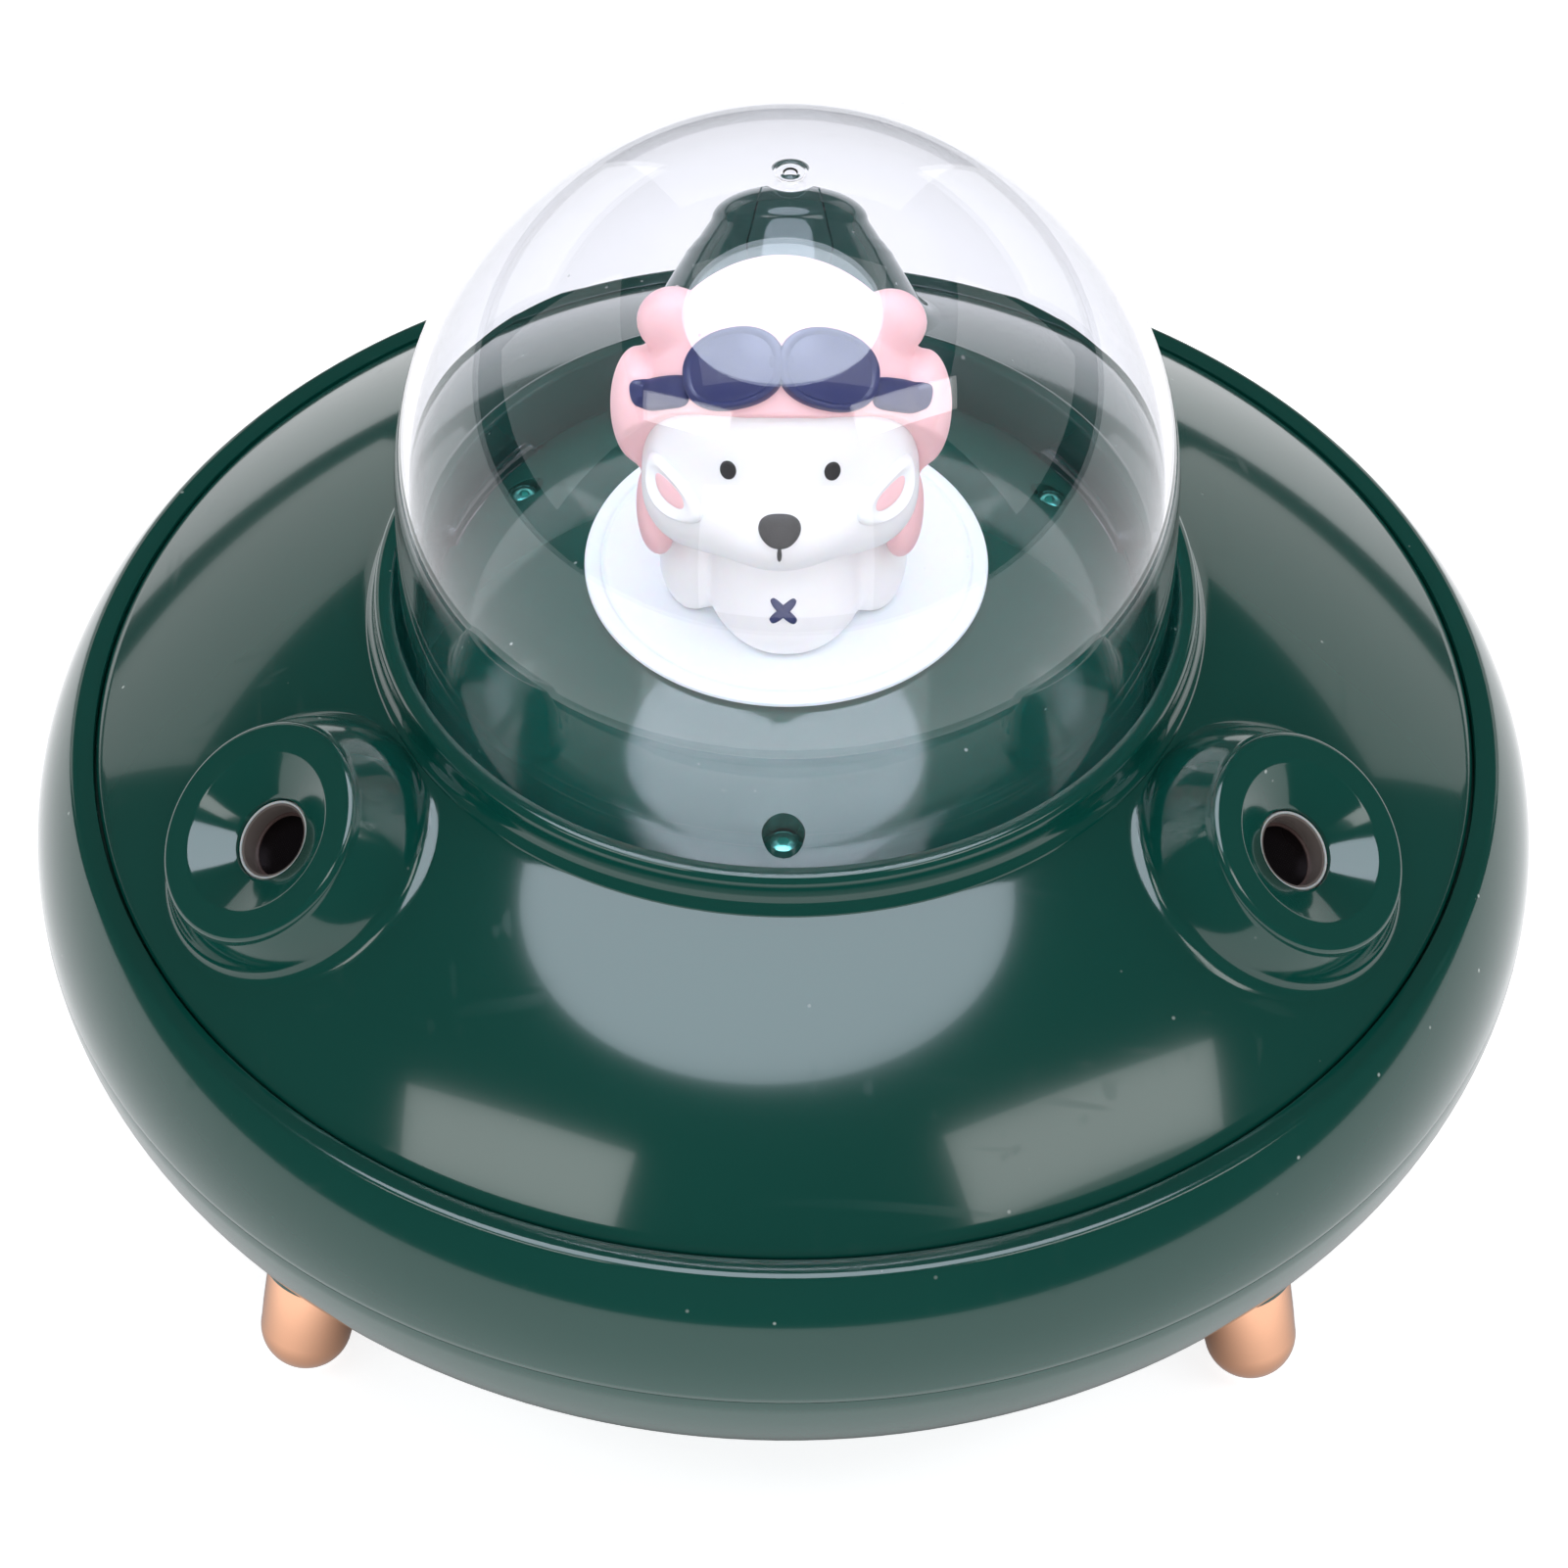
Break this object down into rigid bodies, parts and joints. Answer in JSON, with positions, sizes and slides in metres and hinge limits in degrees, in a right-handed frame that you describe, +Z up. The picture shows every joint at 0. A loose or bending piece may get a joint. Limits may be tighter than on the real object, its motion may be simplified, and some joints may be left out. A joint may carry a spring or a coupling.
{
  "type": "desktop humidifier",
  "caption": "Round saucer-shaped desktop mist humidifier with angled nozzles, splayed peg feet and a clear lift-off dome over a small cub figure on a lit disc.",
  "frame": {"origin": "on the table, midway between the feet, under the centre of the dome", "axes": "+Z up through the dome, -Y to the front where the cub looks, +X to the viewer's right from the front"},
  "size_m": [0.1904, 0.1904, 0.1423],
  "materials": {
    "green_shell": "polished, very dark teal green, with a few dust specks",
    "green_inner": "moulded, satin",
    "tank_plastic": "translucent moulded plastic",
    "rose_copper": "metallised rose copper",
    "clear_rubber": "soft pad",
    "white_silicone": "satin silicone",
    "mist_metal": "thin perforated disc on a ceramic ring",
    "cotton": "pressed cotton",
    "steel": "plated",
    "lamp_opal": "opal, lit softly from below",
    "led_white": "small white lamps",
    "circuit_board": "coated board",
    "black_plastic": "moulded",
    "cub_white": "cast resin, satin",
    "cap_pink": "cast resin, satin",
    "navy_paint": "painted, satin gloss",
    "black_paint": "painted, gloss",
    "wire_white": "sleeved wire",
    "clear_dome": "clear moulded plastic"
  },
  "bodies": {
    "base": {"lower_bowl": "green_shell", "rim_ring": "green_shell", "water_tank": "tank_plastic", "foot_front_left": "rose_copper", "foot_front_right": "rose_copper", "foot_rear_left": "rose_copper", "foot_rear_right": "rose_copper", "foot_pads": "clear_rubber", "foot_screws": "steel"},
    "lid": {"top_cover": "green_shell", "under_cover": "green_inner", "under_cover_screws": "steel", "lid_seal": "clear_rubber", "deck": "green_shell", "deck_screws": "steel", "lamp_disc": "lamp_opal", "lamp_board": "circuit_board", "lamp_leds": "led_white", "lamp_board_screws": "steel", "figure_body": "cub_white", "figure_head": "cub_white", "figure_cap": "cap_pink", "figure_goggles": "navy_paint", "figure_strap": "navy_paint", "figure_eyes": "black_paint", "figure_nose": "black_paint", "figure_ears": "cap_pink", "figure_cross": "navy_paint", "figure_screw": "steel", "mist_seal_left": "white_silicone", "mist_disc_left": "mist_metal", "wick_holder_left": "tank_plastic", "holder_nut_left": "green_inner", "wick_left": "cotton", "wick_spring_left": "steel", "wick_plug_left": "green_inner", "mist_seal_right": "white_silicone", "mist_disc_right": "mist_metal", "wick_holder_right": "tank_plastic", "holder_nut_right": "green_inner", "wick_right": "cotton", "wick_spring_right": "steel", "wick_plug_right": "green_inner", "control_board": "circuit_board", "board_parts": "black_plastic", "board_screws": "steel", "usb_socket": "steel", "button_board": "circuit_board", "tact_switch": "black_plastic", "lead_lamp": "wire_white", "lead_left": "wire_white", "lead_right": "wire_white"},
    "dome_cover": {"dome": "clear_dome"},
    "button": {"power_button": "green_shell", "switch_plunger": "black_plastic"}
  },
  "joints": [
    {"name": "lid_lift", "type": "slide", "parent": "base", "child": "lid", "axis": [0, 0, 1], "range_m": [0, 0.08]},
    {"name": "dome_lift", "type": "slide", "parent": "lid", "child": "dome_cover", "axis": [0, 0, 1], "range_m": [0, 0.065]},
    {"name": "button_press", "type": "slide", "parent": "lid", "child": "button", "axis": [0, 0.809, -0.5878], "range_m": [0, 0.0006], "stiffness_N_per_m": 1200, "springref_m": -0.0003}
  ]
}
